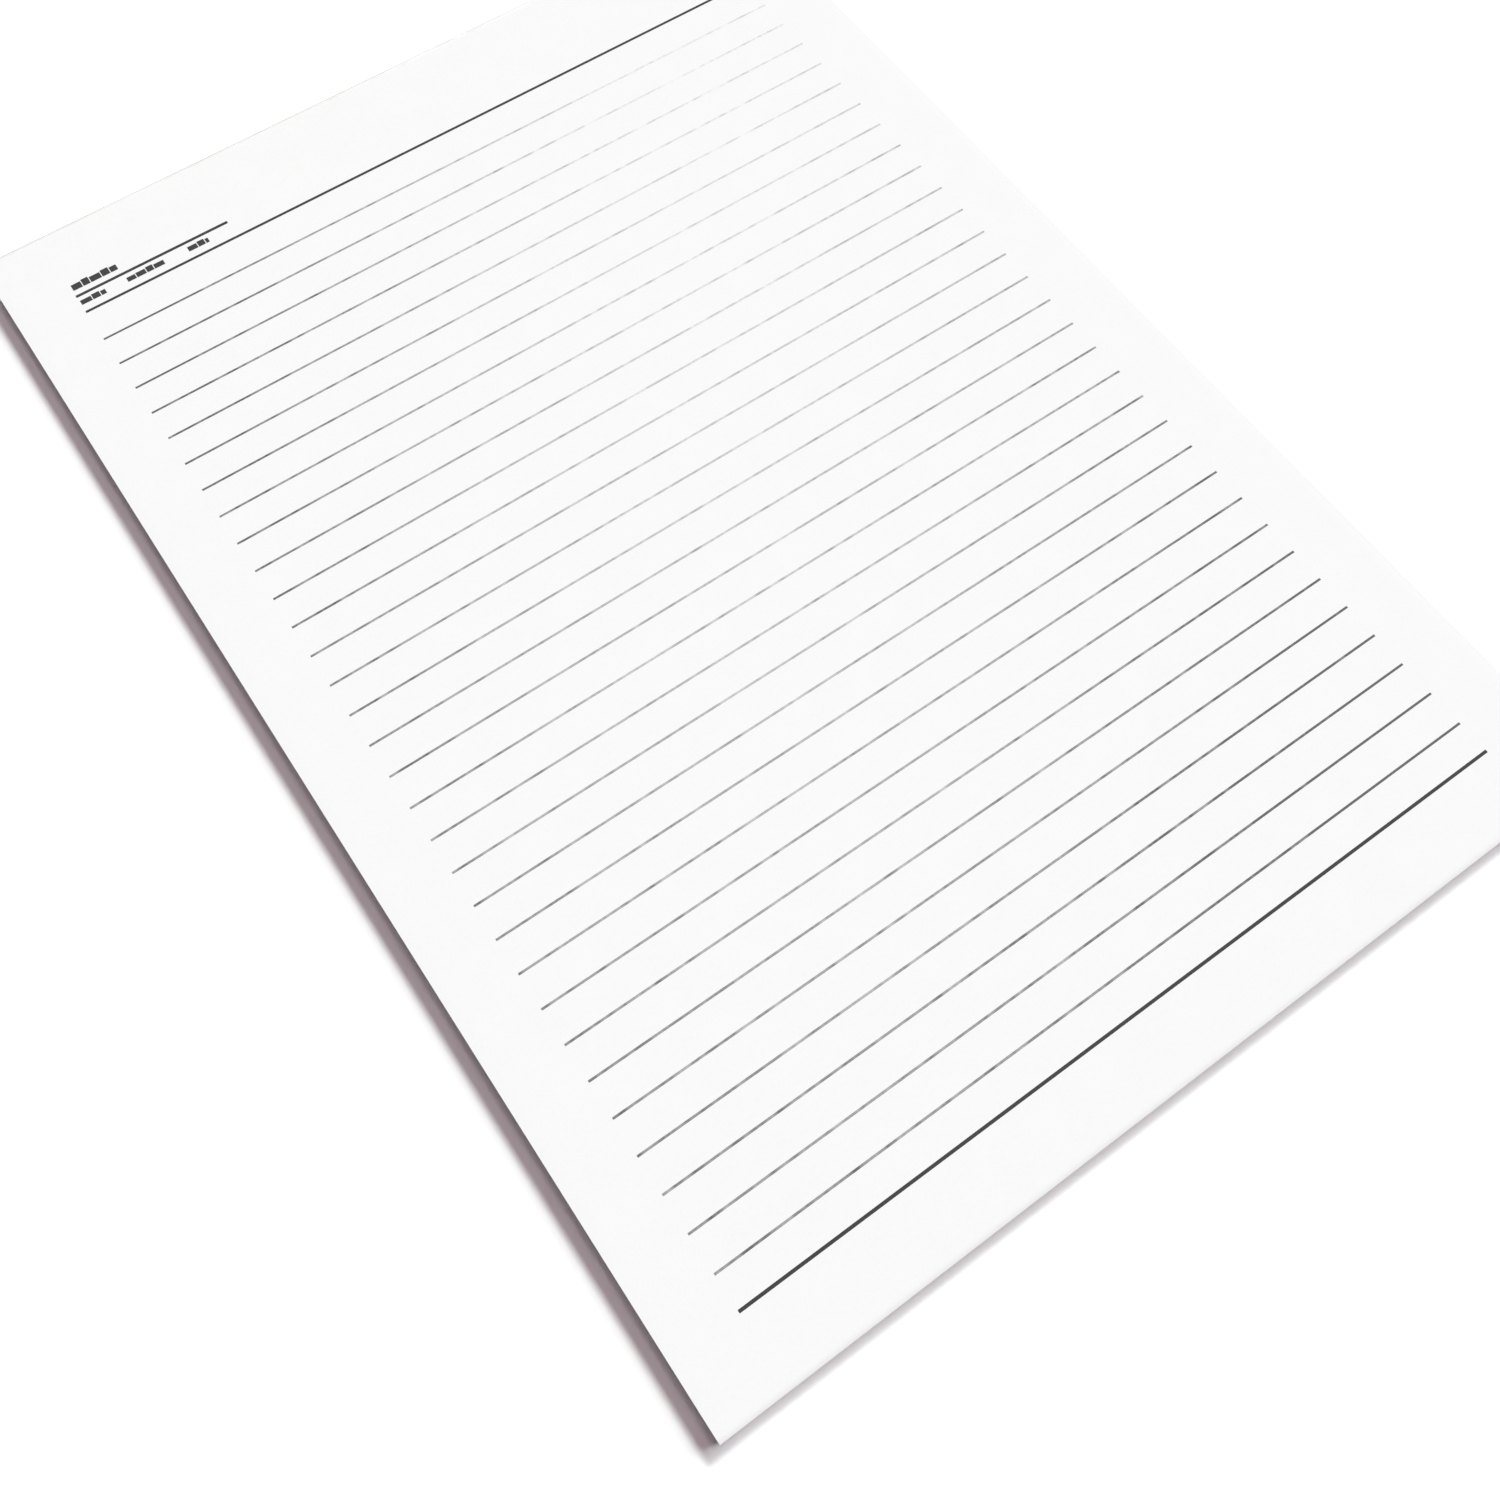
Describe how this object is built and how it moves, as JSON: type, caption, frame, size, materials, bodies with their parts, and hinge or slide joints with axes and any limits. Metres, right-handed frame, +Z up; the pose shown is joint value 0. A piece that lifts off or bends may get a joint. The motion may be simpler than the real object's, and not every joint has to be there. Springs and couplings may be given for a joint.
{
  "type": "legal pad",
  "caption": "Glued pad of ruled A4 writing paper on a greyboard back, bound along its head with padding glue.",
  "frame": {"origin": "middle of the pad's footprint, on the underside of the backing board", "axes": "+X along the printed rules, to the reader's right; +Y from the foot to the glued head; +Z up out of the top leaf"},
  "size_m": [0.21, 0.2976, 0.0112],
  "materials": {
    "paper": "uncoated white writing paper, matte",
    "greyboard": "raw recycled greyboard, matte",
    "glue": "dried white padding glue, slightly glossy, brushed",
    "ink": "thin grey and black printing ink on the top leaf"
  },
  "bodies": {
    "root": {"sheets": "paper", "backing_board": "greyboard", "glue_binding": "glue"}
  },
  "joints": []
}
